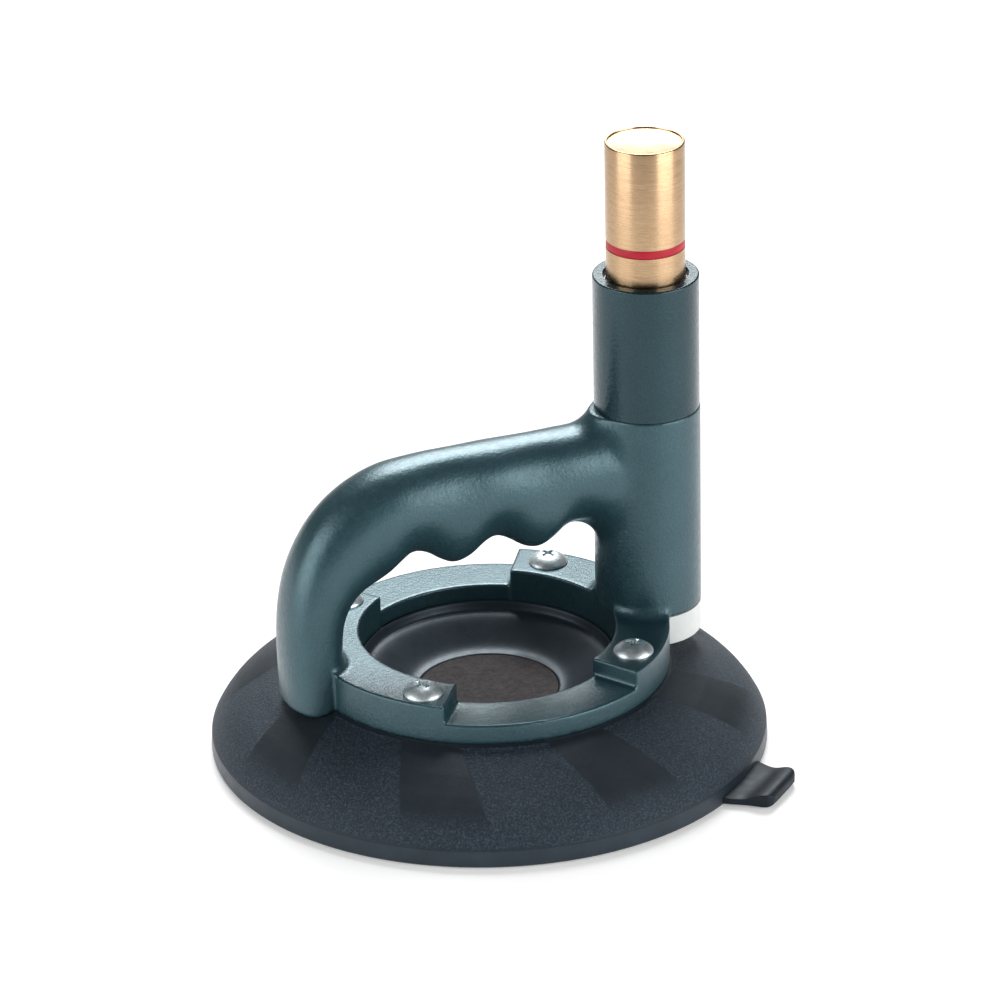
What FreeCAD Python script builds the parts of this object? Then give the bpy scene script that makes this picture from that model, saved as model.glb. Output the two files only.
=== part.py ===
"""Hand-held vacuum cup with a pump-action plunger.

A cast handle (leg, finger grip, pump barrel and mounting ring) is screwed to a rubber vacuum pad.
The pump stands in the handle's barrel: a sprung brass plunger drives a piston with a one-way cup,
and a check valve in the end cap below it holds the vacuum.  Lifting the tab on the pad's rim lets air in.

Frame: origin at the centre of the pad's sealing plane, +Z up, the handle in the XZ plane with the pump at +X.
All sizes are in millimetres.
"""
import FreeCAD
import Part
import math
import os

from FreeCAD import Vector

# ---------------------------------------------------------------- driving dimensions
PAD_R = 101.6              # 8 inch pad
SEAT_Z = 30.0              # where the handle's ring sits on the pad
SEAT_R = 66.8
CONE = [(66.8, 30.0), (75.0, 27.3), (84.0, 23.1), (91.5, 18.3), (97.0, 13.2), (100.0, 9.0), (101.2, 6.0)]
LIP_INNER_R = 93.0         # the flat sealing lip runs from here to the rim

RING_OUT_R = 66.2
RING_IN_R = 47.4
RING_LOW_Z = 37.5          # top of the ring between its raised arcs
BOSS_TOP_Z = 44.0          # top of the raised arcs that take the screws
PUMP_ARC_DEG = 58.0        # the arc under the pump runs this far each way from +X
LEG_ARC_DEG = 55.0         # the arc under the leg runs this far each way from -X

SCREW_CIRCLE_R = 57.15     # 4.5 inch pitch circle
SCREW_ANGLES = (45, 135, 225, 315)
SCREW_R = 3.15             # 1/4 inch screw
SCREW_HEAD_R = 7.2
SCREW_HEAD_H = 3.9
SCREW_BRIM_H = 0.9         # straight edge under the head's dome

PUMP_X = 63.5              # the pump's axis
BARREL_R = 19.4            # cast barrel
TUBE_R = 19.15             # pump tube above the cast barrel
LINER_R = 16.8             # pump tube inside the cast barrel
BORE_R = 15.2
SEAM_Z = 121.0             # the tube's shoulder stands on the casting here
MOUTH_Z = 171.5
PLUNGER_R = 14.25
PLUNGER_IN_R = 12.65
BAND_IN_R = 13.85
PLUNGER_TOP_Z = 222.0
PLUNGER_END_T = 3.0        # thickness of its closed end
PLUNGER_CHAMFER = 0.9
BAND_Z = (182.2, 185.4)    # red indicator band

PISTON_Z = 104.0           # underside of the piston with the plunger out
PISTON_TOP_Z = 112.0
PISTON_LAND_R = 15.12
CUP_IN_R = 12.9
CUP_OUT_R = 15.17
CUP_Z = (106.0, 110.0)
SPRING_SEAT_Z = 56.0
SPRING_CEILING_Z = 150.0
SPRING_COIL_R = 9.3
SPRING_WIRE_R = 0.9
SPRING_COILS = 15
SPRING_HOLE_R = 11.0       # the spring passes up through the piston
SPRING_BOSS_R = 8.0
WIPER_Z = (166.0, 168.0)
CLIP_Z = (168.0, 169.3)    # groove of the clip that keeps the guide in the tube
CLIP_R = 16.1
MOUTH_R = 15.5
MOUTH_ROUND = 0.6

CAP_R = 19.3               # white end cap under the barrel
CAP_Z = (32.5, 43.2)
PLUG_R = 14.5
PLUG_BOTTOM_Z = 30.3
LINER_BOTTOM_Z = 50.0
CAST_BARREL_BOTTOM_Z = 43.4

VALVE_POCKET_R = 8.0
VALVE_POCKET_Z = 44.0
FILTER_TOP_Z = 47.0
VALVE_SEAT_TOP_Z = 50.0
VALVE_SEAT_HOLE_R = 4.2
VALVE_R = 6.2
VALVE_T = 1.2
CAGE_CEILING_Z = 52.6      # leaves the valve disc just over a millimetre of lift
PORT_X = 58.0
PORT_R = 1.75
GASKET_R = 4.4
GASKET_RECESS = 1.3
O_RING_R = 13.7
O_RING_WIRE_R = 0.8
O_RING_Z = 47.0

PLATE_Z = 14.6
PLATE_T = 1.6
PLATE_R = 64.0
INSERT_R = 5.0
INSERT_FLOOR_T = 1.5       # the inserts are closed below, so no air leaks past the screws
SCREW_TIP_Z = 20.0
EYELET_R = 3.0
DISC_R = 25.5
DISC_T = 1.5
DISC_Z = 18.0
DISH_IN_R = 26.2
DISH_OUT_R = 45.6
DISH_LOW_Z = 19.7
DISH_TOP_Z = 31.4
DISH_STEPS = 8
CAVITY_Z = 11.0
RIBS = 8
RIB_START_DEG = 5.5        # first rib, at the top of the cone
RIB_LEAN_DEG = 9.0         # each rib swings round by this much on its way out
RECESS_DEG = 27.0
RECESS_R = (67.4, 75.0, 84.0, 91.5, 96.4)
RECESS_DEPTH = 0.9

TAB_DEG = -48.0            # the release tab points this way from +X
TAB_GAP = 0.4
TAB_HINGE_R = 102.0
TAB_ROOT_HALF_W = 15.6
TAB_TIP_HALF_W = 11.6
TAB_TIP_R = 118.0

GRIP_FILLET_R = 12.0       # where the grip runs into the barrel
BARREL_FILLET_R = 4.0
LEG_FILLET_R = 3.0
ARC_STEP = 0.8             # the raised arcs reach this much further in than the ring
RUNNING = 0.07             # radial clearance of a sliding fit
FIT = 0.05                 # radial clearance of a fixed fit
Z_AXIS = Vector(0, 0, 1)


# ---------------------------------------------------------------- helpers
def cylinder(radius, low, high, x=0.0, y=0.0):
    return Part.makeCylinder(radius, high - low, Vector(x, y, low), Z_AXIS)


def ring(outer, inner, low, high, x=0.0, y=0.0):
    return cylinder(outer, low, high, x, y).cut(cylinder(inner, low - 1, high + 1, x, y))


def revolve(profile, x=0.0, y=0.0):
    """A solid of revolution about a vertical axis, from a closed list of (radius, height) corners."""
    corners = [Vector(x + r, y, z) for r, z in profile]
    face = Part.Face(Part.makePolygon(corners + corners[:1]))
    return face.revolve(Vector(x, y, 0), Z_AXIS, 360)


def sector(outer, inner, low, high, centre_deg, half_deg):
    """A piece of a ring about the pad's axis."""
    whole = Part.makeCylinder(outer, high - low, Vector(0, 0, low), Z_AXIS, 2 * half_deg)
    whole.rotate(Vector(0, 0, 0), Z_AXIS, centre_deg - half_deg)
    return whole.cut(cylinder(inner, low - 1, high + 1))


def polar(radius, degrees):
    return radius * math.cos(math.radians(degrees)), radius * math.sin(math.radians(degrees))


def mid_point(edge):
    return edge.valueAt((edge.FirstParameter + edge.LastParameter) / 2)


def lies_at(edge, height):
    return abs(mid_point(edge).z - height) < 0.05


def curve_kind(edge):
    return type(edge.Curve).__name__


def one_solid(shape):
    shape = shape.removeSplitter()
    return shape.Solids[0] if len(shape.Solids) == 1 else shape


# ---------------------------------------------------------------- handle casting
GRIP_TOP_Z = 116.5
SECTION_POWER = 2.25       # 2 is an ellipse, more is squarer
SECTION_POINTS = 20

# Stations along the handle, from the leg's foot to the start of the straight grip:
# outer point (x, z), inner point (x, z), half width in y.
LEG_STATIONS = [
    ((-78.5, 29.2), (-57.6, 26.5), 15.7),
    ((-79.2, 47.0), (-57.4, 43.0), 15.2),
    ((-79.0, 59.0), (-56.8, 55.0), 14.8),
    ((-77.6, 71.0), (-54.6, 63.5), 14.6),
    ((-74.6, 82.0), (-50.8, 68.6), 14.6),
    ((-69.8, 92.0), (-46.2, 71.6), 14.7),
    ((-63.4, 100.6), (-41.4, 73.6), 14.8),
    ((-55.4, 107.4), (-37.0, 76.0), 14.9),
    ((-46.2, 112.2), (-33.0, 78.8), 15.0),
    ((-37.0, 114.9), (-28.5, 80.7), 15.0),
]
GROOVE_TOP_Z = 80.9
GROOVE_RIDGE_Z = 74.0
GROOVE_START_X = -28.5
GROOVE_PITCH = 30.5
GRIP_HALF_W = 15.0
GRIP_STEP_X = 5.08
GRIP_END_X = 58.0


def grip_stations():
    """Sections across the straight grip: flat on top, with finger grooves one pitch apart below."""
    stations = []
    x = GROOVE_START_X + GRIP_STEP_X
    while x < GRIP_END_X:
        wave = 0.5 + 0.5 * math.cos(2 * math.pi * (x - GROOVE_START_X) / GROOVE_PITCH)
        under = GROOVE_RIDGE_Z + (GROOVE_TOP_Z - GROOVE_RIDGE_Z) * wave
        if x > GROOVE_START_X + 2 * GROOVE_PITCH:
            under = GROOVE_TOP_Z
        lean = min(1.0, (x - GROOVE_START_X) / 14.0)
        top_x = x - 8.5 * (1 - lean)
        top_z = GRIP_TOP_Z - 1.7 * (1 - lean) ** 2
        stations.append(((top_x, top_z), (x, under), GRIP_HALF_W))
        x += GRIP_STEP_X
    return stations


def section_wire(outer, inner, half_width):
    """A closed rounded section in the plane through the outer and inner points, across the handle."""
    top, under = Vector(outer[0], 0, outer[1]), Vector(inner[0], 0, inner[1])
    centre, up = (top + under) * 0.5, top - under
    half_height = up.Length / 2
    up.normalize()
    points = []
    for i in range(SECTION_POINTS):
        t = 2 * math.pi * i / SECTION_POINTS
        c, s = math.cos(t), math.sin(t)
        along = math.copysign(abs(c) ** (2 / SECTION_POWER), c) * half_height
        across = math.copysign(abs(s) ** (2 / SECTION_POWER), s) * half_width
        points.append(centre + up * along + Vector(0, across, 0))
    curve = Part.BSplineCurve()
    curve.interpolate(Points=points, PeriodicFlag=True)
    return Part.Wire(curve.toShape())


def grip_and_leg():
    wires = [section_wire(*station) for station in LEG_STATIONS + grip_stations()]
    return Part.makeLoft(wires, True, False, False, 2)


def is_grip_joint(edge):
    """The closed curve where the grip runs into the barrel."""
    return curve_kind(edge) == "BSplineCurve" and len(edge.Vertexes) == 1 and 30 < mid_point(edge).x < 60


def is_barrel_foot(edge):
    """The arc where the barrel stands on the raised part of the ring."""
    return lies_at(edge, BOSS_TOP_Z) and curve_kind(edge) == "Circle" and abs(edge.Curve.Radius - BARREL_R) < 0.1


def is_leg_foot(edge):
    """The curve where the inner side of the leg meets the raised part of the ring."""
    return lies_at(edge, BOSS_TOP_Z) and curve_kind(edge) == "BSplineCurve" and -60 < mid_point(edge).x < -40


def mounting_ring():
    """The ring on the pad, with its two raised arcs for the screws."""
    body = ring(RING_OUT_R, RING_IN_R, SEAT_Z, RING_LOW_Z)
    for centre_deg, half_deg in ((0, PUMP_ARC_DEG), (180, LEG_ARC_DEG)):
        body = body.fuse(sector(RING_OUT_R, RING_IN_R - ARC_STEP, SEAT_Z, BOSS_TOP_Z, centre_deg, half_deg))
    return body


def handle_casting():
    tall_barrel = cylinder(BARREL_R, CAST_BARREL_BOTTOM_Z, SEAM_Z + 2 * GRIP_FILLET_R, PUMP_X)
    body = grip_and_leg().fuse(tall_barrel)
    body = body.makeFillet(GRIP_FILLET_R, [e for e in body.Edges if is_grip_joint(e)])
    body = body.cut(cylinder(2 * BARREL_R, SEAM_Z, SEAM_Z + 3 * GRIP_FILLET_R, PUMP_X))
    pad_room = [(0, 0), (PAD_R, 0)] + [(r + 0.3, z + 0.3) for r, z in reversed(CONE[1:])]
    body = body.cut(revolve(pad_room + [(SEAT_R, SEAT_Z), (0, SEAT_Z)]))
    body = body.fuse(mounting_ring()).removeSplitter()
    body = body.makeFillet(BARREL_FILLET_R, [e for e in body.Edges if is_barrel_foot(e)])
    body = body.makeFillet(LEG_FILLET_R, [e for e in body.Edges if is_leg_foot(e)])
    body = body.cut(cylinder(PLUG_R + FIT, SEAT_Z - 1, LINER_BOTTOM_Z + 1, PUMP_X))
    body = body.cut(cylinder(LINER_R + FIT, LINER_BOTTOM_Z, SEAM_Z + 1, PUMP_X))
    for degrees in SCREW_ANGLES:
        x, y = polar(SCREW_CIRCLE_R, degrees)
        body = body.cut(cylinder(SCREW_R + 0.15, SEAT_Z - 1, BOSS_TOP_Z + 1, x, y))
    return one_solid(body)


# ---------------------------------------------------------------- pump
def pump_tube():
    """The tube: a liner inside the casting, and a head of the barrel's diameter above the seam."""
    body = cylinder(LINER_R, LINER_BOTTOM_Z, SEAM_Z, PUMP_X)
    head = cylinder(TUBE_R, SEAM_Z, MOUTH_Z, PUMP_X)
    head = head.makeFillet(MOUTH_ROUND, [e for e in head.Edges if lies_at(e, MOUTH_Z)])
    body = body.fuse(head)
    body = body.cut(cylinder(BORE_R, LINER_BOTTOM_Z - 1, MOUTH_Z + 1, PUMP_X))
    body = body.cut(cylinder(MOUTH_R, CLIP_Z[1], MOUTH_Z + 1, PUMP_X))
    body = body.cut(cylinder(CLIP_R, CLIP_Z[0], CLIP_Z[1], PUMP_X))
    return one_solid(body)


def guide_sleeve():
    """Long guide for the plunger; its lower end is the stop for the piston."""
    return ring(BORE_R - FIT, PLUNGER_R + RUNNING, PISTON_TOP_Z + 0.1, WIPER_Z[0] - 0.1, PUMP_X)


def wiper_ring():
    """Felt ring that wipes the plunger."""
    return ring(BORE_R - FIT, PLUNGER_R + RUNNING, WIPER_Z[0], WIPER_Z[1], PUMP_X)


def retaining_ring():
    """Split spring clip in the groove under the mouth."""
    clip = ring(CLIP_R - FIT, PLUNGER_R + 0.35, CLIP_Z[0] + FIT, CLIP_Z[1] - FIT, PUMP_X)
    gap = Part.makeBox(4, 3, 4, Vector(PUMP_X - CLIP_R - 1, -1.5, CLIP_Z[0] - 1))
    return clip.cut(gap)


def plunger():
    """Hollow brass plunger, closed at the top, with a shallow groove for the red band."""
    body = cylinder(PLUNGER_R, PISTON_TOP_Z, PLUNGER_TOP_Z, PUMP_X)
    body = body.makeChamfer(PLUNGER_CHAMFER, [e for e in body.Edges if lies_at(e, PLUNGER_TOP_Z)])
    body = body.cut(cylinder(PLUNGER_IN_R, PISTON_TOP_Z - 1, PLUNGER_TOP_Z - PLUNGER_END_T, PUMP_X))
    return body.cut(ring(PLUNGER_R + 1, BAND_IN_R, BAND_Z[0], BAND_Z[1], PUMP_X))


def red_band():
    return ring(PLUNGER_R, BAND_IN_R, BAND_Z[0], BAND_Z[1], PUMP_X)


def spring_rest():
    """Plug pressed into the plunger that the spring pushes against."""
    return cylinder(PLUNGER_IN_R, SPRING_CEILING_Z, SPRING_CEILING_Z + 3, PUMP_X)


def piston():
    """Ring screwed to the plunger's open end, grooved for the cup."""
    body = cylinder(PISTON_LAND_R, PISTON_Z, PISTON_TOP_Z, PUMP_X)
    body = body.fuse(cylinder(PLUNGER_IN_R, PISTON_TOP_Z - 1, PISTON_TOP_Z + 8, PUMP_X))
    body = body.cut(ring(PISTON_LAND_R + 1, CUP_IN_R, CUP_Z[0], CUP_Z[1], PUMP_X))
    return one_solid(body.cut(cylinder(SPRING_HOLE_R, PISTON_Z - 1, PISTON_TOP_Z + 9, PUMP_X)))


def piston_cup():
    """One-way rubber cup: its flared lip faces down, so air passes it on the down stroke."""
    low, high = CUP_Z
    return revolve([(CUP_IN_R, low), (CUP_IN_R + 0.7, low), (CUP_IN_R + 1.2, low + 2.2), (CUP_OUT_R - 0.4, low),
                    (CUP_OUT_R, low + 0.1), (CUP_OUT_R - 0.25, high), (CUP_IN_R, high)], PUMP_X)


def plunger_spring():
    """Compression spring from the valve cage up to the rest inside the plunger."""
    low = SPRING_SEAT_Z + SPRING_WIRE_R + FIT
    height = SPRING_CEILING_Z - SPRING_SEAT_Z - 2 * (SPRING_WIRE_R + FIT)
    helix = Part.makeHelix(height / SPRING_COILS, height, SPRING_COIL_R)
    section = Part.Wire(Part.Circle(Vector(SPRING_COIL_R, 0, 0), Vector(0, 1, 0), SPRING_WIRE_R).toShape())
    coil = Part.Wire(helix.Edges).makePipeShell([section], True, True)
    coil.translate(Vector(PUMP_X, 0, low))
    return coil


# ---------------------------------------------------------------- end cap and check valve
def end_cap():
    """White cap: a crescent flush with the barrel outside the ring, and a plug that closes the bore."""
    crescent = cylinder(CAP_R, CAP_Z[0], CAP_Z[1], PUMP_X).cut(cylinder(RING_OUT_R + 0.3, 0, 60))
    body = crescent.fuse(cylinder(PLUG_R, PLUG_BOTTOM_Z, LINER_BOTTOM_Z - 0.1, PUMP_X))
    body = body.cut(cylinder(VALVE_POCKET_R, VALVE_POCKET_Z, LINER_BOTTOM_Z + 1, PUMP_X))
    body = body.cut(cylinder(PORT_R, PLUG_BOTTOM_Z - 1, VALVE_POCKET_Z + 1, PORT_X))
    body = body.cut(cylinder(GASKET_R, PLUG_BOTTOM_Z - 1, PLUG_BOTTOM_Z + GASKET_RECESS, PORT_X))
    groove = ring(PLUG_R + 1, O_RING_R - O_RING_WIRE_R, O_RING_Z - 0.9, O_RING_Z + 0.9, PUMP_X)
    return one_solid(body.cut(groove))


def cap_o_ring():
    return Part.makeTorus(O_RING_R, O_RING_WIRE_R, Vector(PUMP_X, 0, O_RING_Z), Z_AXIS)


def port_gasket():
    """Rubber washer that seals the air port between the cap and the pad."""
    return ring(GASKET_R - FIT, PORT_R + FIT, SEAT_Z + FIT, PLUG_BOTTOM_Z + GASKET_RECESS - FIT, PORT_X)


def filter_disc():
    return cylinder(VALVE_POCKET_R - FIT, VALVE_POCKET_Z, FILTER_TOP_Z - FIT, PUMP_X)


def valve_seat():
    seat = ring(VALVE_POCKET_R - FIT, VALVE_SEAT_HOLE_R, FILTER_TOP_Z, VALVE_SEAT_TOP_Z - 0.1, PUMP_X)
    return seat.fuse(ring(VALVE_R - 0.4, VALVE_SEAT_HOLE_R, VALVE_SEAT_TOP_Z - 0.2, VALVE_SEAT_TOP_Z, PUMP_X))


def check_valve():
    """Disc that lifts off its seat when the piston draws air up from the pad."""
    low = VALVE_SEAT_TOP_Z + FIT
    return cylinder(VALVE_R, low, low + VALVE_T, PUMP_X)


def valve_cage():
    """Keeps the disc over its seat, lets air through six holes and centres the spring."""
    low = LINER_BOTTOM_Z + FIT
    body = cylinder(BORE_R - FIT, low, SPRING_SEAT_Z, PUMP_X)
    body = body.fuse(cylinder(SPRING_BOSS_R, SPRING_SEAT_Z - 1, SPRING_SEAT_Z + 3, PUMP_X))
    body = body.cut(cylinder(VALVE_R + 1.0, low - 1, CAGE_CEILING_Z, PUMP_X))
    for i in range(6):
        x, y = polar(4.8, 60 * i + 30)
        body = body.cut(cylinder(1.3, CAGE_CEILING_Z - 1, SPRING_SEAT_Z + 4, PUMP_X + x, y))
    return one_solid(body)


# ---------------------------------------------------------------- pad
def pad_profile():
    """Half section of the rubber pad, from the dished top, over the cone and back under the lip."""
    dish = []
    for i in range(DISH_STEPS + 1):
        t = i / DISH_STEPS
        radius = DISH_IN_R + (DISH_OUT_R - DISH_IN_R) * t
        dish.append((radius, DISH_LOW_Z + (DISH_TOP_Z - DISH_LOW_Z) * (1.9 * t - 0.9 * t * t) ** 1.15))
    top = [(0, DISC_Z), (DISC_R + FIT, DISC_Z), (DISC_R + FIT, DISH_LOW_Z)] + dish
    crown = [(RING_IN_R - 0.9, DISH_TOP_Z), (RING_IN_R - 0.9, SEAT_Z), (SEAT_R, SEAT_Z)]
    under = [(PAD_R, 1.0), (PAD_R, 0), (LIP_INNER_R, 0), (91.5, 1.2), (86.0, 7.2), (78.0, CAVITY_Z), (0, CAVITY_Z)]
    return top + crown + CONE[1:] + under


def recess_band():
    """The layer taken off the cone between its ribs, all the way round; it runs out to nothing near the rim."""
    floor = []
    for radius in RECESS_R:
        t = (radius - RECESS_R[0]) / (RECESS_R[-1] - RECESS_R[0])
        floor.append((radius, cone_height(radius) - RECESS_DEPTH * (1 - 0.85 * t ** 3)))
    return revolve(floor + [(RECESS_R[-1], SEAT_Z + 5), (RECESS_R[0], SEAT_Z + 5)])


def recess_outline(centre_deg):
    """Upright prism over one space between two ribs; it leans round as it goes outwards."""
    sides = []
    for half_deg in (-RECESS_DEG / 2, RECESS_DEG / 2):
        side = []
        for radius in RECESS_R[:1] + RECESS_R + RECESS_R[-1:]:
            t = (radius - RECESS_R[0]) / (RECESS_R[-1] - RECESS_R[0])
            side.append(polar(radius, centre_deg + half_deg + RIB_LEAN_DEG * t))
        side[0] = polar(RECESS_R[0] - 8, centre_deg + half_deg)
        side[-1] = polar(RECESS_R[-1] + 8, centre_deg + half_deg + RIB_LEAN_DEG)
        sides.append(side)
    corners = [Vector(x, y, 0) for x, y in sides[0] + sides[1][::-1]]
    return Part.Face(Part.makePolygon(corners + corners[:1])).extrude(Vector(0, 0, SEAT_Z + 10))


def cone_height(radius):
    """Height of the pad's upper face, straight between the points of its profile."""
    for (r0, z0), (r1, z1) in zip(CONE, CONE[1:]):
        if radius <= r1:
            return z0 + (z1 - z0) * (radius - r0) / (r1 - r0)
    return CONE[-1][1]


def pad():
    body = revolve(pad_profile())
    band = recess_band()
    for i in range(RIBS):
        centre_deg = RIB_START_DEG + (i + 0.5) * 360 / RIBS
        body = body.cut(band.common(recess_outline(centre_deg)))
    body = body.cut(cylinder(PLATE_R, PLATE_Z, PLATE_Z + PLATE_T))
    for degrees in SCREW_ANGLES:
        x, y = polar(SCREW_CIRCLE_R, degrees)
        body = body.cut(cylinder(INSERT_R, PLATE_Z, SEAT_Z + 1, x, y))
    body = body.cut(cylinder(EYELET_R, CAVITY_Z - 1, SEAT_Z + 1, PORT_X))
    return one_solid(body)


def mounting_plate():
    """Steel plate moulded into the pad; the screw inserts stand on it."""
    return cylinder(PLATE_R, PLATE_Z, PLATE_Z + PLATE_T).cut(cylinder(EYELET_R, 0, SEAT_Z, PORT_X))


def threaded_inserts():
    inserts = []
    for degrees in SCREW_ANGLES:
        x, y = polar(SCREW_CIRCLE_R, degrees)
        insert = cylinder(INSERT_R, PLATE_Z + PLATE_T, SEAT_Z - FIT, x, y)
        hole = cylinder(SCREW_R + FIT, PLATE_Z + PLATE_T + INSERT_FLOOR_T, SEAT_Z + 1, x, y)
        inserts.append(insert.cut(hole))
    return Part.makeCompound(inserts)


def handle_screws():
    """Four cross-recessed truss-head screws."""
    screws = []
    for degrees in SCREW_ANGLES:
        x, y = polar(SCREW_CIRCLE_R, degrees)
        dome = []
        for i in range(9):
            t = math.radians(90 * i / 8)
            height = SCREW_BRIM_H + (SCREW_HEAD_H - SCREW_BRIM_H) * math.sin(t)
            dome.append((SCREW_HEAD_R * math.cos(t), BOSS_TOP_Z + height))
        dome[-1] = (0, BOSS_TOP_Z + SCREW_HEAD_H)
        profile = [(0, BOSS_TOP_Z), (SCREW_HEAD_R, BOSS_TOP_Z)] + dome
        screw = revolve(profile, x, y).fuse(cylinder(SCREW_R, SCREW_TIP_Z, BOSS_TOP_Z + 1, x, y))
        for turn in (0, 90):
            slot = Part.makeBox(7.0, 1.3, 3, Vector(-3.5, -0.65, 0))
            slot.rotate(Vector(0, 0, 0), Z_AXIS, degrees + turn + 20)
            slot.translate(Vector(x, y, BOSS_TOP_Z + SCREW_HEAD_H - 2.2))
            screw = screw.cut(slot)
        screws.append(one_solid(screw))
    return Part.makeCompound(screws)


def port_eyelet():
    """Brass tube that carries the air port through the pad."""
    return ring(EYELET_R, PORT_R, CAVITY_Z, SEAT_Z - FIT, PORT_X)


def centre_disc():
    return cylinder(DISC_R, DISC_Z, DISC_Z + DISC_T)


def release_tab():
    """Moulded tab on the rim: thin where it flexes, rising to a rounded lip."""
    tip = [(TAB_TIP_R - 1.2, 0.2), (TAB_TIP_R - 0.2, 1.4), (TAB_TIP_R, 3.2), (TAB_TIP_R - 0.9, 5.0)]
    lip = [(TAB_TIP_R - 2.6, 5.7), (TAB_TIP_R - 4.6, 5.4), (TAB_TIP_R - 7.0, 4.0)]
    web = [(TAB_TIP_R - 9.6, 3.0), (TAB_TIP_R - 12.0, 3.0), (TAB_HINGE_R + 0.4, 3.3), (TAB_HINGE_R, 3.5)]
    profile = [(96.0, 0.2)] + tip + lip + web + [(96.0, 3.5)]
    corners = [Vector(u, -30, z) for u, z in profile]
    body = Part.Face(Part.makePolygon(corners + corners[:1])).extrude(Vector(0, 60, 0))
    side = [(90, TAB_ROOT_HALF_W), (TAB_HINGE_R, TAB_ROOT_HALF_W), (TAB_TIP_R - 6.5, TAB_TIP_HALF_W + 1.2),
            (TAB_TIP_R - 2.4, TAB_TIP_HALF_W), (TAB_TIP_R - 0.5, TAB_TIP_HALF_W - 2.2),
            (TAB_TIP_R + 0.1, TAB_TIP_HALF_W - 5.0)]
    outline = [(u, -v) for u, v in side] + side[::-1]
    corners = [Vector(u, v, -1) for u, v in outline]
    body = body.common(Part.Face(Part.makePolygon(corners + corners[:1])).extrude(Vector(0, 0, 12)))
    body = body.cut(cylinder(PAD_R + TAB_GAP, -1, 12))
    body.rotate(Vector(0, 0, 0), Z_AXIS, TAB_DEG)
    return one_solid(body)


# ---------------------------------------------------------------- export
NODES = {
    "handle_casting": handle_casting,
    "handle_screws": handle_screws,
    "pump_tube": pump_tube,
    "guide_sleeve": guide_sleeve,
    "wiper_ring": wiper_ring,
    "retaining_ring": retaining_ring,
    "end_cap": end_cap,
    "cap_o_ring": cap_o_ring,
    "port_gasket": port_gasket,
    "filter_disc": filter_disc,
    "valve_seat": valve_seat,
    "valve_cage": valve_cage,
    "check_valve": check_valve,
    "plunger": plunger,
    "red_band": red_band,
    "spring_rest": spring_rest,
    "piston": piston,
    "piston_cup": piston_cup,
    "plunger_spring": plunger_spring,
    "pad": pad,
    "mounting_plate": mounting_plate,
    "threaded_inserts": threaded_inserts,
    "port_eyelet": port_eyelet,
    "centre_disc": centre_disc,
    "release_tab": release_tab,
}

os.makedirs("parts", exist_ok=True)
for name, make in NODES.items():
    shape = make()
    shape.exportStep("parts/" + name + ".step")
    box = shape.BoundBox
    print(name, shape.isValid(), len(shape.Solids), round(shape.Volume, 1),
          [round(v, 2) for v in (box.XMin, box.XMax, box.YMin, box.YMax, box.ZMin, box.ZMax)])
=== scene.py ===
import math

import bmesh
import bpy
from mathutils import Matrix, Vector


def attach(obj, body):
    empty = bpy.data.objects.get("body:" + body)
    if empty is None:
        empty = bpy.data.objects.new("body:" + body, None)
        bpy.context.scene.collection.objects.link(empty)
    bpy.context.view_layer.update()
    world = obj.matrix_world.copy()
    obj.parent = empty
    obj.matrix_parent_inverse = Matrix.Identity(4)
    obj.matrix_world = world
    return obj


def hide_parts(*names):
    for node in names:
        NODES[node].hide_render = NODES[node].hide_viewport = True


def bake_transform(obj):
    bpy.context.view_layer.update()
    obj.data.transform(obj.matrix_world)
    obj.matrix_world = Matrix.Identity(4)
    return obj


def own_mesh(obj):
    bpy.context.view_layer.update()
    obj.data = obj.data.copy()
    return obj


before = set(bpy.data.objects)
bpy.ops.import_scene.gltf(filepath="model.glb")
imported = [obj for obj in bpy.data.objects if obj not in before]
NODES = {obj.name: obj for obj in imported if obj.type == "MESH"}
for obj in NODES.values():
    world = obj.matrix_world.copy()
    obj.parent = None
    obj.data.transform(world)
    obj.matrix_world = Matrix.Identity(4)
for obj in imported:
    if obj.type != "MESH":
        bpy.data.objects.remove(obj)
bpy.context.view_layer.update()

MM = 0.001                 # the shapes below are given in millimetres
PUMP_X = 63.5              # the pump's axis, from the pad's axis
SCREW_CIRCLE_R = 57.15


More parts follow.
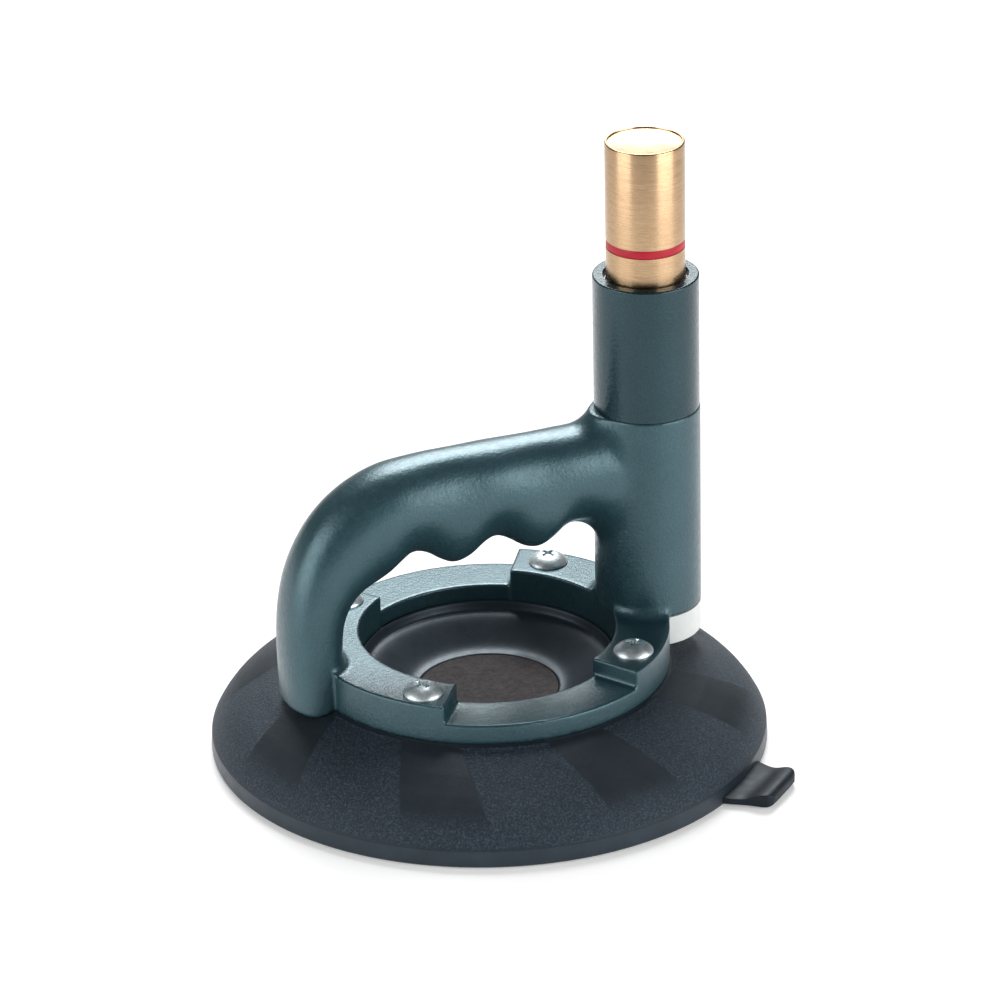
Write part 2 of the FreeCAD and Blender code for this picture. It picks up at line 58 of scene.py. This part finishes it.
# ---------------------------------------------------------------- material helpers
class Mat:
    """A node material with one Principled shader, and short ways to add procedural layers to it."""

    def __init__(self, name, colour, roughness, metallic=0.0, **sockets):
        self.mat = bpy.data.materials.new(name)
        self.mat.use_nodes = True
        self.nodes = self.mat.node_tree.nodes
        self.links = self.mat.node_tree.links
        self.bsdf = self.nodes["Principled BSDF"]
        self.coord = self.nodes.new("ShaderNodeTexCoord").outputs["Object"]
        self.bsdf.inputs["Base Color"].default_value = (*colour, 1)
        self.bsdf.inputs["Roughness"].default_value = roughness
        self.bsdf.inputs["Metallic"].default_value = metallic
        for socket, value in sockets.items():
            self.bsdf.inputs[socket.replace("_", " ")].default_value = value
        self.normal = None

    def scaled(self, scale):
        """Object coordinates stretched by a vector."""
        node = self.nodes.new("ShaderNodeMapping")
        node.inputs["Scale"].default_value = scale
        self.links.new(self.coord, node.inputs["Vector"])
        return node.outputs["Vector"]

    def noise(self, scale, detail=4.0, rough=0.55, stretch=None):
        node = self.nodes.new("ShaderNodeTexNoise")
        node.inputs["Scale"].default_value = scale
        node.inputs["Detail"].default_value = detail
        node.inputs["Roughness"].default_value = rough
        self.links.new(self.scaled(stretch) if stretch else self.coord, node.inputs["Vector"])
        return node.outputs["Fac"]

    def ramp(self, fac, stops):
        node = self.nodes.new("ShaderNodeValToRGB")
        elements = node.color_ramp.elements
        while len(elements) < len(stops):
            elements.new(0.5)
        for element, (position, colour) in zip(elements, stops):
            element.position = position
            element.color = (*colour, 1)
        self.links.new(fac, node.inputs["Fac"])
        return node.outputs["Color"]

    def grey(self, fac, low_position, low, high_position, high):
        return self.ramp(fac, [(low_position, (low,) * 3), (high_position, (high,) * 3)])

    def math(self, operation, a, b):
        node = self.nodes.new("ShaderNodeMath")
        node.operation = operation
        for socket, value in zip(node.inputs, (a, b)):
            if isinstance(value, (int, float)):
                socket.default_value = value
            else:
                self.links.new(value, socket)
        return node.outputs["Value"]

    def mix(self, fac, a, b):
        """Colour a turning into colour b; each may be a colour or a socket."""
        node = self.nodes.new("ShaderNodeMix")
        node.data_type = "RGBA"
        self.links.new(fac, node.inputs[0])
        for socket, value in ((node.inputs[6], a), (node.inputs[7], b)):
            if isinstance(value, tuple):
                socket.default_value = (*value, 1)
            else:
                self.links.new(value, socket)
        return node.outputs[2]

    def bump(self, height, distance, strength):
        """Adds relief, in metres, over any relief already there."""
        node = self.nodes.new("ShaderNodeBump")
        node.inputs["Strength"].default_value = strength
        node.inputs["Distance"].default_value = distance
        self.links.new(height, node.inputs["Height"])
        if self.normal is not None:
            self.links.new(self.normal, node.inputs["Normal"])
        self.normal = node.outputs["Normal"]
        self.links.new(self.normal, self.bsdf.inputs["Normal"])

    def feed(self, socket, value):
        self.links.new(value, self.bsdf.inputs[socket])

    def attribute(self, name):
        node = self.nodes.new("ShaderNodeAttribute")
        node.attribute_name = name
        return node.outputs["Fac"]


# ---------------------------------------------------------------- materials
COOL = (0.70, 0.86, 1.0, 1.0)     # tint of the sheen on black rubber
RIB_GRAIN = 0.22           # value of the pad's "pebble" attribute on its ribs; 1 on the fields, 0 elsewhere


def paint(name, dark, light, rough, coat, coat_rough, gloss):
    """Semi-gloss metallic paint over a cast skin: orange peel, soft dimples and a fine sparkle."""
    m = Mat(name, dark, rough, metallic=0.55, Coat_Weight=coat, Coat_Roughness=coat_rough,
            Specular_IOR_Level=gloss)
    grain = m.noise(2200, 2)
    colour = m.ramp(m.noise(30, 3), [(0.35, dark), (0.68, light)])
    fleck = m.grey(grain, 0.48, 0.0, 0.75, 0.45)
    m.feed("Base Color", m.mix(fleck, colour, tuple(c * 1.8 for c in light)))
    m.feed("Roughness", m.grey(m.noise(420, 4), 0.3, rough - 0.05, 0.7, rough + 0.07))
    m.bump(m.noise(820, 4), 0.00019, 0.6)
    m.bump(grain, 0.00004, 0.6)
    m.feed("Coat Normal", m.normal)
    return m


def brass():
    """Turned brass: fine rings round the axis, slightly uneven tone."""
    m = Mat("brass_brushed", (0.62, 0.44, 0.27), 0.3, metallic=1.0, Anisotropic=0.6,
            Anisotropic_Rotation=0.25)
    fine = m.noise(1.0, 2, 0.7, stretch=(220, 220, 4200))
    band = m.noise(1.0, 2, 0.6, stretch=(20, 20, 1300))
    tone = m.ramp(band, [(0.25, (0.43, 0.287, 0.167)), (0.75, (0.535, 0.372, 0.224))])
    tone = m.mix(m.grey(fine, 0.44, 0.0, 0.72, 0.6), tone, (0.34, 0.21, 0.12))
    tone = m.mix(m.grey(m.noise(55, 4), 0.45, 0.0, 0.75, 0.14), tone, (0.42, 0.27, 0.16))
    m.feed("Base Color", tone)
    m.feed("Roughness", m.grey(fine, 0.3, 0.22, 0.7, 0.34))
    m.bump(fine, 0.00002, 0.35)
    return m


def plain(name, dark, light, rough, scale=90, metallic=0.0, peel=300, depth=0.00004, **sockets):
    """A simple two-tone finish with a little surface grain."""
    m = Mat(name, dark, rough, metallic, **sockets)
    m.feed("Base Color", m.ramp(m.noise(scale, 4), [(0.35, dark), (0.68, light)]))
    m.feed("Roughness", m.grey(m.noise(scale * 3, 3), 0.3, max(rough - 0.06, 0.04), 0.7, rough + 0.08))
    m.bump(m.noise(peel, 3), depth, 0.5)
    return m


def rubber_pad():
    """Black rubber: moulded pebble grain on the fields, fine grain on the ribs, smooth elsewhere. The ribs'
    darker colour is painted shade; the grain's dark hollows and light peaks are painted shade and highlight.
    """
    m = Mat("rubber_pad", (0.02, 0.026, 0.034), 0.5, Specular_IOR_Level=0.4, Specular_Tint=COOL)
    mask = m.attribute("pebble")
    pebble = m.noise(1350, 3, 0.6)
    speck = m.noise(2100, 2, 0.6)
    drift = m.noise(90, 4)
    height = m.math("ADD", pebble, m.math("MULTIPLY", speck, 0.6))
    smooth = m.ramp(drift, [(0.35, (0.017, 0.024, 0.031)), (0.7, (0.025, 0.033, 0.042))])
    # the ribs are the same rubber as the smooth parts, painted darker: painted shade
    rib = m.ramp(drift, [(0.35, (0.007, 0.0105, 0.014)), (0.7, (0.012, 0.0165, 0.022))])
    # the fields' colour follows the grain's height, dark in its hollows and light on its peaks: painted shade
    # and painted highlight
    field = m.ramp(height, [(0.62, (0.006, 0.010, 0.015)), (0.80, (0.014, 0.020, 0.029)),
                            (1.00, (0.046, 0.063, 0.084))])
    on_rib = m.grey(mask, 0.0, 0.0, RIB_GRAIN, 1.0)
    on_field = m.grey(mask, RIB_GRAIN, 0.0, 1.0, 1.0)
    m.feed("Base Color", m.mix(on_field, m.mix(on_rib, smooth, rib), field))
    smooth_rough = m.grey(m.noise(300, 4), 0.3, 0.33, 0.7, 0.42)
    m.feed("Roughness", m.mix(on_rib, smooth_rough, m.grey(speck, 0.3, 0.48, 0.7, 0.60)))
    relief = m.math("ADD", m.math("MULTIPLY", mask, 0.92), 0.08)
    m.bump(m.math("MULTIPLY", height, relief), 0.00045, 0.9)
    return m


def rubber_smooth(name, rough, tone, gloss):
    """Moulded black rubber without grain; tone darkens or lightens it."""
    low, high = (tuple(c * tone for c in colour) for colour in ((0.012, 0.017, 0.023), (0.020, 0.026, 0.034)))
    m = Mat(name, low, rough, Specular_IOR_Level=gloss, Specular_Tint=COOL)
    m.feed("Base Color", m.ramp(m.noise(70, 4), [(0.35, low), (0.7, high)]))
    m.feed("Roughness", m.grey(m.noise(260, 4), 0.3, rough - 0.05, 0.7, rough + 0.07))
    m.bump(m.noise(1300, 3), 0.00004, 0.5)
    return m


MATERIALS = {
    "paint": paint("paint_handle", (0.017, 0.058, 0.073), (0.027, 0.075, 0.092), rough=0.38,
                   coat=0.45, coat_rough=0.26, gloss=0.5),
    # the pump tube has the same paint as the handle; this darker copy of it is painted shade
    "paint_tube_shaded": paint("paint_tube_shaded", (0.0075, 0.031, 0.040), (0.012, 0.041, 0.052), rough=0.25,
                        coat=0.4, coat_rough=0.14, gloss=0.25),
    "brass": brass(),
    "brass_plain": plain("brass_machined", (0.60, 0.41, 0.22), (0.72, 0.52, 0.30), 0.3, metallic=1.0),
    "steel": plain("zinc_plate", (0.54, 0.62, 0.65), (0.84, 0.91, 0.93), 0.4, scale=420, metallic=1.0,
                   peel=900),
    "spring": plain("spring_wire", (0.42, 0.43, 0.45), (0.56, 0.57, 0.58), 0.3, metallic=1.0),
    "white": plain("nylon_white", (0.60, 0.63, 0.62), (0.68, 0.70, 0.69), 0.4, Coat_Weight=0.2),
    "black": plain("acetal_black", (0.02, 0.02, 0.022), (0.035, 0.035, 0.037), 0.45),
    "red": plain("enamel_red", (0.36, 0.003, 0.016), (0.46, 0.006, 0.028), 0.4, Specular_IOR_Level=0.3),
    "felt": plain("felt", (0.34, 0.33, 0.29), (0.48, 0.46, 0.42), 0.95, scale=500, peel=1800, depth=0.0003),
    "brown": plain("disc_brown", (0.011, 0.008, 0.009), (0.026, 0.019, 0.021), 0.64, scale=300, peel=700,
                   Specular_IOR_Level=0.14),
    "pad": rubber_pad(),
    "seal": rubber_smooth("rubber_seal", 0.35, tone=1.0, gloss=0.5),
    "tab": rubber_smooth("rubber_tab", 0.5, tone=0.55, gloss=0.28),
}

# finishes of the CAD nodes that keep their own shape; the others are replaced by the pieces below
NODE_FINISH = {
    "pump_tube": "paint_tube_shaded", "guide_sleeve": "black", "wiper_ring": "felt", "retaining_ring": "spring",
    "end_cap": "white", "cap_o_ring": "seal", "port_gasket": "seal", "filter_disc": "felt",
    "valve_seat": "white", "valve_cage": "black", "check_valve": "seal", "spring_rest": "brass_plain",
    "piston": "brass_plain", "piston_cup": "seal", "mounting_plate": "steel", "threaded_inserts": "steel",
    "port_eyelet": "brass_plain", "centre_disc": "brown",
}
for node_name, finish_name in NODE_FINISH.items():
    node_mesh = NODES[node_name].data
    node_mesh.materials.clear()
    node_mesh.materials.append(MATERIALS[finish_name].mat)


# ---------------------------------------------------------------- mesh helpers
def linked(name, data):
    """A new object in the scene."""
    obj = bpy.data.objects.new(name, data)
    bpy.context.scene.collection.objects.link(obj)
    return obj


def piece(name, vertices, faces, body, finish, smooth=True):
    """A new mesh object, riding on a CAD body if one is named."""
    mesh = bpy.data.meshes.new(name)
    mesh.from_pydata(vertices, [], faces)
    mesh.update()
    obj = linked(name, mesh)
    mesh.materials.append(MATERIALS[finish].mat)
    if smooth:
        mesh.shade_smooth()
    if body:
        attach(obj, body)
    return obj


def circle(x, y, radius, height, count):
    """Points of a level circle, in metres from sizes in mm."""
    angles = [2 * math.pi * k / count for k in range(count)]
    return [((x + radius * math.cos(a)) * MM, (y + radius * math.sin(a)) * MM, height * MM) for a in angles]


def skin(rows, count, closed=False):
    """Faces over rings of points; the ends are capped, or join each other when closed."""
    faces = []
    for i in range(rows if closed else rows - 1):
        j = (i + 1) % rows
        for k in range(count):
            n = (k + 1) % count
            faces.append((i * count + k, i * count + n, j * count + n, j * count + k))
    if not closed:
        faces.append(tuple(reversed(range(count))))
        faces.append(tuple((rows - 1) * count + k for k in range(count)))
    return faces


def fix_normals(obj):
    bm = bmesh.new()
    bm.from_mesh(obj.data)
    bmesh.ops.recalc_face_normals(bm, faces=bm.faces)
    bm.to_mesh(obj.data)
    bm.free()


def lerp(a, b, t):
    return a + (b - a) * t


def along(points, x):
    """Piecewise straight line through (x, y) points."""
    for (x0, y0), (x1, y1) in zip(points, points[1:]):
        if x <= x1:
            return lerp(y0, y1, (x - x0) / (x1 - x0))
    return points[-1][1]


def ease(t):
    """0 to 1 with a soft start and end."""
    t = min(max(t, 0.0), 1.0)
    return t * t * (3 - 2 * t)


def between(x, span):
    """0 below the span to 1 above it, softly."""
    return ease((x - span[0]) / (span[1] - span[0]))


# ---------------------------------------------------------------- pad
RIBS = 8
SECTOR = 2 * math.pi / RIBS
RIB_START = math.radians(5.5)        # middle of the first rib at the cone's inner edge
RIB_LEAN = math.radians(9.0)         # how far a rib has turned when it reaches the rim
RIB_HALF = math.radians(9.0)         # half a rib's width
RIB_SHOULDER = math.radians(0.7)     # width of the step from a rib down to its field
RIB_RISE = 0.55
RIB_CROWN = 0.35                     # how much lower a rib's edges are than its middle
RIB_START_R = (66.8, 68.0)           # radii between which the ribs rise from the cone's inner edge
RIB_FADE = (84.0, 97.5)              # radii between which the ribs sink into the rim
FIELD_FADE = (91.0, 100.0)           # radii between which pebbling spreads over the ribs' ends
SMOOTH_RIM = (100.9, 101.3)          # radii between which the pebbling stops
LEAN_END = 98.0
DISH_FOOT, DISH_LIP, DISH_STEPS = (26.6, 19.8), (44.2, 28.6), 16
CONE_STEPS = 44
# radius, height
CONE = [(66.8, 30.0), (71.0, 28.8), (75.0, 27.3), (80.0, 25.2), (84.0, 23.1), (88.0, 20.8), (91.5, 18.3),
        (94.5, 15.8), (97.0, 13.1), (99.3, 9.9), (101.15, 6.5)]
CONE_START, CONE_END = 66.8, 101.1


def pad_rings():
    """Rings of the pad from the dish's floor, over the crown and cone, round the rim and back underneath."""
    rings = [(0.5, 17.9), (25.4, 17.9), (25.6, 18.2), (25.7, 19.4), (26.0, 19.75), DISH_FOOT]
    for i in range(1, DISH_STEPS + 1):
        t = i / DISH_STEPS
        climb = 0.1 * t + 0.9 * ease(t)
        rings.append((lerp(DISH_FOOT[0], DISH_LIP[0], t), lerp(DISH_FOOT[1], DISH_LIP[1], climb)))
    rings += [(44.6, 29.0), (44.95, 29.8), (45.25, 30.8), (45.45, 31.35), (45.7, 31.66), (46.0, 31.76),
              (46.3, 31.6), (46.5, 31.2), (46.55, 30.5), (46.6, 30.0), (56.0, 30.0), (66.0, 30.0)]
    for i in range(CONE_STEPS + 1):
        radius = lerp(CONE_START, CONE_END, i / CONE_STEPS)
        rings.append((radius, along(CONE, radius)))
    rings += [(101.2, 6.32), (101.24, 6.1), (101.27, 5.8), (101.36, 4.0), (101.46, 2.0), (101.5, 0.9),
              (101.3, 0.25), (100.8, 0.0), (97.0, 0.0), (93.4, 0.0), (92.6, 0.35), (91.5, 1.4), (88.5, 4.6),
              (86.0, 7.2), (82.5, 9.4), (78.5, 10.6), (73.0, 11.0), (50.0, 11.0), (20.0, 11.0), (0.5, 11.0)]
    return rings


def sector_angles():
    """Column angles across one rib and the field after it, close together at the rib's edges."""
    rib = [RIB_HALF * k for k in (-1.0, -0.9, -0.7, -0.35, 0.0, 0.35, 0.7, 0.9, 1.0)]
    edge = [RIB_HALF + RIB_SHOULDER * k for k in (0.35, 0.7, 1.0)]
    start, end = edge[-1], SECTOR - edge[-1]
    field = [lerp(start, end, k / 13) for k in range(1, 13)]
    return rib + edge + field + [SECTOR - e for e in reversed(edge)]


def pad_piece():
    """The rubber moulding: a smooth dish and rim, with raised ribs between pebbled fields on the cone."""
    rings = pad_rings()
    columns = [(SECTOR * k + a, a) for k in range(RIBS) for a in sector_angles()]
    vertices, grain = [], []
    for radius, height in rings:
        on_cone = radius > CONE_START + 0.1 and height > along(CONE, radius) - 0.3
        outward = min(max((radius - CONE_START) / (LEAN_END - CONE_START), 0.0), 1.0)
        turn = RIB_START + RIB_LEAN * outward ** 0.85
        rise = between(radius, RIB_START_R) * (1 - between(radius, RIB_FADE))
        over_rib = between(radius, FIELD_FADE)
        pebbled = 1 - between(radius, SMOOTH_RIM)
        for a, local in columns:
            drop = 0.0
            value = 0.0
            if on_cone:
                away = min(abs(local), abs(SECTOR - local))
                step = ease((away - RIB_HALF) / RIB_SHOULDER)
                crown = RIB_CROWN * min(away / RIB_HALF, 1.0) ** 2
                drop = (crown + (RIB_RISE - crown) * step) * rise
                value = lerp(RIB_GRAIN, 1.0, max(step, over_rib)) * pebbled
            grain.append(value)
            angle = a + turn
            vertices.append((radius * math.cos(angle) * MM, radius * math.sin(angle) * MM,
                             (height - drop) * MM))
    count = len(columns)
    faces = []
    for i in range(len(rings) - 1):
        for j in range(count):
            k = (j + 1) % count
            faces.append((i * count + j, (i + 1) * count + j, (i + 1) * count + k, i * count + k))
    faces.append(tuple(range(count)))
    faces.append(tuple(reversed(range((len(rings) - 1) * count, len(rings) * count))))
    obj = piece("pad_rubber", vertices, faces, "frame", "pad")
    obj.data.attributes.new("pebble", "FLOAT", "POINT").data.foreach_set("value", grain)
    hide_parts("pad")


# ---------------------------------------------------------------- handle casting
SCALLOPS_X = (-28.5, 2.0, 32.5)      # the finger grooves' middles
SCALLOP_HALF = 12.5
SCALLOP_DEPTH = 2.5
GRIP_HALF_WIDTH = 15


def scallop(x, z):
    """How far the grip's side is pressed in beside the finger grooves, in mm."""
    if not (-45 < x < 46 and z < 101):
        return 0.0
    beside = sum(ease(1 - abs(x - centre) / SCALLOP_HALF) for centre in SCALLOPS_X)
    return SCALLOP_DEPTH * beside * (1 - ease((z - 82) / 17)) * ease((z - 62) / 8)


def cast_piece():
    """The CAD casting, remeshed finely and relaxed, so every edge has the soft radius of a painted casting."""
    obj = linked("handle_cast", NODES["handle_casting"].data.copy())
    remesh = obj.modifiers.new("remesh", "REMESH")
    remesh.mode = "VOXEL"
    remesh.voxel_size = 0.6 * MM
    relax = obj.modifiers.new("relax", "SMOOTH")
    relax.factor = 0.5
    relax.iterations = 4
    depsgraph = bpy.context.evaluated_depsgraph_get()
    mesh = bpy.data.meshes.new_from_object(obj.evaluated_get(depsgraph))
    obj.modifiers.clear()
    obj.data = mesh
    for vertex in mesh.vertices:
        depth = scallop(vertex.co.x / MM, vertex.co.z / MM)
        if depth:
            vertex.co.y *= 1 - depth / GRIP_HALF_WIDTH
    mesh.shade_smooth()
    mesh.materials.clear()
    mesh.materials.append(MATERIALS["paint"].mat)
    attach(obj, "frame")
    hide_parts("handle_casting")


# ---------------------------------------------------------------- plunger and spring
TURNED_SIDES = 128
# radius, height
PLUNGER_PROFILE = [(12.65, 112.0), (14.25, 112.0), (14.25, 182.2), (13.85, 182.2), (13.85, 185.4),
                   (14.25, 185.4), (14.25, 221.45), (14.18, 221.72), (14.0, 221.92), (13.8, 222.0),
                   (13.55, 222.0), (13.42, 221.95), (13.34, 221.8), (13.3, 221.45), (13.1, 221.4),
                   (0.3, 221.4), (0.3, 219.0), (12.65, 219.0)]
BAND_PROFILE = [(13.86, 182.24), (13.95, 182.24), (14.08, 182.42), (14.13, 182.6), (14.13, 185.0),
                (14.08, 185.18), (13.95, 185.36), (13.86, 185.36)]


def turned(name, profile, body, finish):
    """A closed shape turned about the pump's axis, from its profile's corners."""
    vertices = []
    for radius, height in profile:
        vertices += circle(PUMP_X, 0, radius, height, TURNED_SIDES)
    obj = piece(name, vertices, skin(len(profile), TURNED_SIDES, closed=True), body, finish)
    fix_normals(obj)
    obj.data.set_sharp_from_angle(angle=math.radians(32))
    return obj


def plunger_pieces():
    """Brass plunger with a finely rounded edge round its turned end face, and the red band in its groove."""
    rod = turned("plunger_brass", PLUNGER_PROFILE, "plunger_unit", "brass")
    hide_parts("plunger")
    band = turned("band_enamel", BAND_PROFILE, "plunger_unit", "red")
    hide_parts("red_band")


SPRING_LOW, SPRING_HIGH = 56.95, 149.05
COIL_R = 9.3
WIRE_R = 0.9
COILS = 15


def spring_piece():
    """The pump's spring, wound as one wire."""
    steps, sides = 32 * COILS, 10
    vertices = []
    for i in range(steps + 1):
        turn = 2 * math.pi * COILS * i / steps
        height = lerp(SPRING_LOW, SPRING_HIGH, i / steps)
        for k in range(sides):
            a = 2 * math.pi * k / sides
            radius = COIL_R + WIRE_R * math.cos(a)
            vertices.append(((PUMP_X + radius * math.cos(turn)) * MM, radius * math.sin(turn) * MM,
                             (height + WIRE_R * math.sin(a)) * MM))
    obj = piece("spring_coil", vertices, skin(steps + 1, sides), "frame", "spring")
    fix_normals(obj)
    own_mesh(obj)
    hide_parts("plunger_spring")


# ---------------------------------------------------------------- release tab
TAB_ANGLE = math.radians(-48)
TAB_ROOT, TAB_LENGTH = 100.4, 17.4
TAB_ACROSS = 17
# distance from the pad's axis, underside height, top height, half width
TAB_STATIONS = [(100.4, 0.5, 3.6, 16.4), (101.6, 0.35, 3.5, 15.9), (102.6, 0.3, 3.3, 15.5),
                (104.0, 0.25, 3.1, 15.0), (106.0, 0.25, 3.0, 14.3), (108.0, 0.25, 3.15, 13.6),
                (109.8, 0.25, 3.7, 13.1), (111.4, 0.2, 4.5, 12.7), (113.0, 0.15, 5.2, 12.4),
                (114.6, 0.1, 5.6, 12.1), (115.9, 0.15, 5.6, 11.6), (116.9, 0.5, 5.2, 10.6),
                (117.55, 1.1, 4.5, 9.2), (117.8, 1.9, 3.7, 7.8)]


def tab_piece():
    """Moulded rubber tab: a thin waist where it leaves the rim, rising to a thick rounded lip."""
    out = Vector((math.cos(TAB_ANGLE), math.sin(TAB_ANGLE), 0))
    side = Vector((-math.sin(TAB_ANGLE), math.cos(TAB_ANGLE), 0))
    steps = [-1 + 2 * i / (TAB_ACROSS - 1) for i in range(TAB_ACROSS)]
    vertices = []
    for distance, low, high, half in TAB_STATIONS:
        loop = [(v, v * half, high - 0.35 * abs(v) ** 8) for v in steps]
        loop += [(v, v * half * 0.985, low + 0.2 * abs(v) ** 8) for v in reversed(steps)]
        for v, sideways, height in loop:
            inward = 2.2 * (v * half / 16) ** 2 * (1 - (distance - TAB_ROOT) / TAB_LENGTH)
            p = out * (distance - inward) + side * sideways
            vertices.append((p.x * MM, p.y * MM, height * MM))
    obj = piece("tab_rubber", vertices, skin(len(TAB_STATIONS), 2 * TAB_ACROSS), None, "tab")
    fix_normals(obj)
    bevel = obj.modifiers.new("edges", "BEVEL")
    bevel.width = 0.35 * MM
    bevel.segments = 3
    bevel.limit_method = "ANGLE"
    bevel.angle_limit = math.radians(40)
    subdivide = obj.modifiers.new("sub", "SUBSURF")
    subdivide.levels = subdivide.render_levels = 1
    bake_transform(obj)
    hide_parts("release_tab")


# ---------------------------------------------------------------- screws
SCREW_SIDES = 64
# radius, height: the shank, then the head
SCREW_PROFILE = [(3.15, 30.5), (3.15, 44.0), (7.2, 44.0), (7.25, 44.45), (7.1, 44.8), (6.7, 45.35),
                 (6.1, 45.95), (5.3, 46.55), (4.4, 47.05), (3.4, 47.45), (2.4, 47.7), (1.3, 47.83), (0.4, 47.86)]
SCREWS = [(45, 24), (135, 65), (225, 20), (315, 38)]       # place on the screw circle, turn of the recess
SLOT_HALF_LONG, SLOT_HALF_WIDE = 3.7, 0.85
SLOT_TOP, SLOT_FLOOR = 49.0, 45.4
SLOT_TAPER = 0.5                     # the slot's length at its floor, as a part of its length at the top


def slot_cutter(x, y, turn):
    """A tapered block that cuts one slot of a cross recess."""
    corners = []
    for z, grow in ((SLOT_TOP, 1.0), (SLOT_FLOOR, SLOT_TAPER)):
        for sx, sy in ((-1, -1), (1, -1), (1, 1), (-1, 1)):
            u, v = sx * SLOT_HALF_LONG * grow, sy * SLOT_HALF_WIDE * (0.8 + 0.2 * grow)
            corners.append(((x + u * math.cos(turn) - v * math.sin(turn)) * MM,
                            (y + u * math.sin(turn) + v * math.cos(turn)) * MM, z * MM))
    faces = [(0, 1, 2, 3), (7, 6, 5, 4), (0, 4, 5, 1), (1, 5, 6, 2), (2, 6, 7, 3), (3, 7, 4, 0)]
    cutter = piece("cut_tmp", corners, faces, None, "steel", smooth=False)
    fix_normals(cutter)
    return cutter


def screw_pieces():
    """Cross-recessed truss heads over their shanks, all in one mesh."""
    bm = bmesh.new()
    for place, recess in SCREWS:
        angle = math.radians(place)
        x, y = SCREW_CIRCLE_R * math.cos(angle), SCREW_CIRCLE_R * math.sin(angle)
        vertices = []
        for radius, height in SCREW_PROFILE:
            vertices += circle(x, y, radius, height, SCREW_SIDES)
        head = piece("screw_tmp", vertices, skin(len(SCREW_PROFILE), SCREW_SIDES), None, "steel")
        cutters = [slot_cutter(x, y, math.radians(recess) + quarter) for quarter in (0, math.pi / 2)]
        for cutter in cutters:
            cut = head.modifiers.new("cut", "BOOLEAN")
            cut.object = cutter
            cut.operation = "DIFFERENCE"
            cut.solver = "EXACT"
        depsgraph = bpy.context.evaluated_depsgraph_get()
        bm.from_mesh(bpy.data.meshes.new_from_object(head.evaluated_get(depsgraph)))
        for extra in cutters + [head]:
            bpy.data.objects.remove(extra, do_unlink=True)
    merged = bpy.data.meshes.new("screw_heads")
    bm.to_mesh(merged)
    bm.free()
    merged.materials.append(MATERIALS["steel"].mat)
    merged.shade_smooth()
    merged.set_sharp_from_angle(angle=math.radians(35))
    obj = linked("screw_heads", merged)
    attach(obj, "frame")
    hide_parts("handle_screws")


pad_piece()
cast_piece()
plunger_pieces()
spring_piece()
tab_piece()
screw_pieces()


# ---------------------------------------------------------------- camera, lights, floor
def look(azimuth, elevation, roll, distance, shift_right, shift_up, lens):
    """Camera on a sphere round the origin, moved sideways and up in its own frame."""
    e, a, r = (math.radians(v) for v in (elevation, azimuth, roll))
    back = Vector((math.sin(a) * math.cos(e), -math.cos(a) * math.cos(e), math.sin(e)))
    right = Vector((math.cos(a), math.sin(a), 0))
    up = back.cross(right)
    right, up = right * math.cos(r) + up * math.sin(r), up * math.cos(r) - right * math.sin(r)
    data = bpy.data.cameras.new("camera")
    data.lens = lens
    data.sensor_width = 36
    data.clip_end = 50
    camera = linked("camera", data)
    place = right * shift_right + up * shift_up + back * distance
    camera.matrix_world = Matrix.Translation(place) @ Matrix((right, up, back)).transposed().to_4x4()
    bpy.context.scene.camera = camera


def area(name, place, aim, size, power):
    """A rectangular soft light, in metres and watts, that the camera doesn't see."""
    data = bpy.data.lights.new(name, "AREA")
    data.shape = "RECTANGLE"
    data.size, data.size_y = size
    data.energy = power
    light = linked(name, data)
    light.location = place
    light.visible_camera = False
    light.rotation_euler = (Vector(aim) - Vector(place)).to_track_quat("-Z", "Y").to_euler()


def sun(name, towards, strength, degrees):
    """A distant soft light, a disc of this many degrees, standing in the direction given."""
    data = bpy.data.lights.new(name, "SUN")
    data.energy = strength
    data.angle = math.radians(degrees)
    light = linked(name, data)
    light.rotation_euler = Vector(towards).to_track_quat("Z", "Y").to_euler()


FLOOR_HALF = 6
FLOOR_Z = -0.0004          # just under the pad's rim, so the two never share a plane


def pale_floor():
    """A large pale floor with a faint glow of its own, so that it stays evenly pale far from the lights."""
    corners = [(sx * FLOOR_HALF, sy * FLOOR_HALF, FLOOR_Z) for sx, sy in ((-1, -1), (1, -1), (1, 1), (-1, 1))]
    mesh = bpy.data.meshes.new("floor")
    mesh.from_pydata(corners, [], [(0, 1, 2, 3)])
    m = Mat("floor", (0.8, 0.8, 0.8), 0.7, Emission_Color=(1, 1, 1, 1), Emission_Strength=0.27)
    m.feed("Base Color", m.grey(m.noise(3, 2), 0.3, 0.79, 0.7, 0.81))
    mesh.materials.append(m.mat)
    linked("floor", mesh)


look(azimuth=-21.244, elevation=25.021, roll=-1.216, distance=1.92783, shift_right=0.003827, shift_up=0.085438,
     lens=189.69)

bpy.context.scene.view_settings.view_transform = "Standard"

world = bpy.data.worlds.new("studio")
world.use_nodes = True
world.node_tree.nodes["Background"].inputs["Color"].default_value = (1, 1, 1, 1)
world.node_tree.nodes["Background"].inputs["Strength"].default_value = 0.13
bpy.context.scene.world = world

sun("key", (0.33, 0.86, 1.08), 3.05, 34)
area("left", place=(-1.0, -0.12, 0.38), aim=(0, 0, 0.12), size=(0.85, 0.7), power=6.6)
area("right", place=(0.68, -0.84, 0.38), aim=(0.06, 0, 0.12), size=(0.95, 0.7), power=9.5)
area("behind", place=(0.0, 0.52, 0.25), aim=(-0.03, 0, 0.04), size=(0.44, 0.17), power=0.1)
area("cap", place=(0.27, 0.54, 0.49), aim=(0.063, 0, 0.222), size=(0.26, 0.2), power=0.75)
pale_floor()
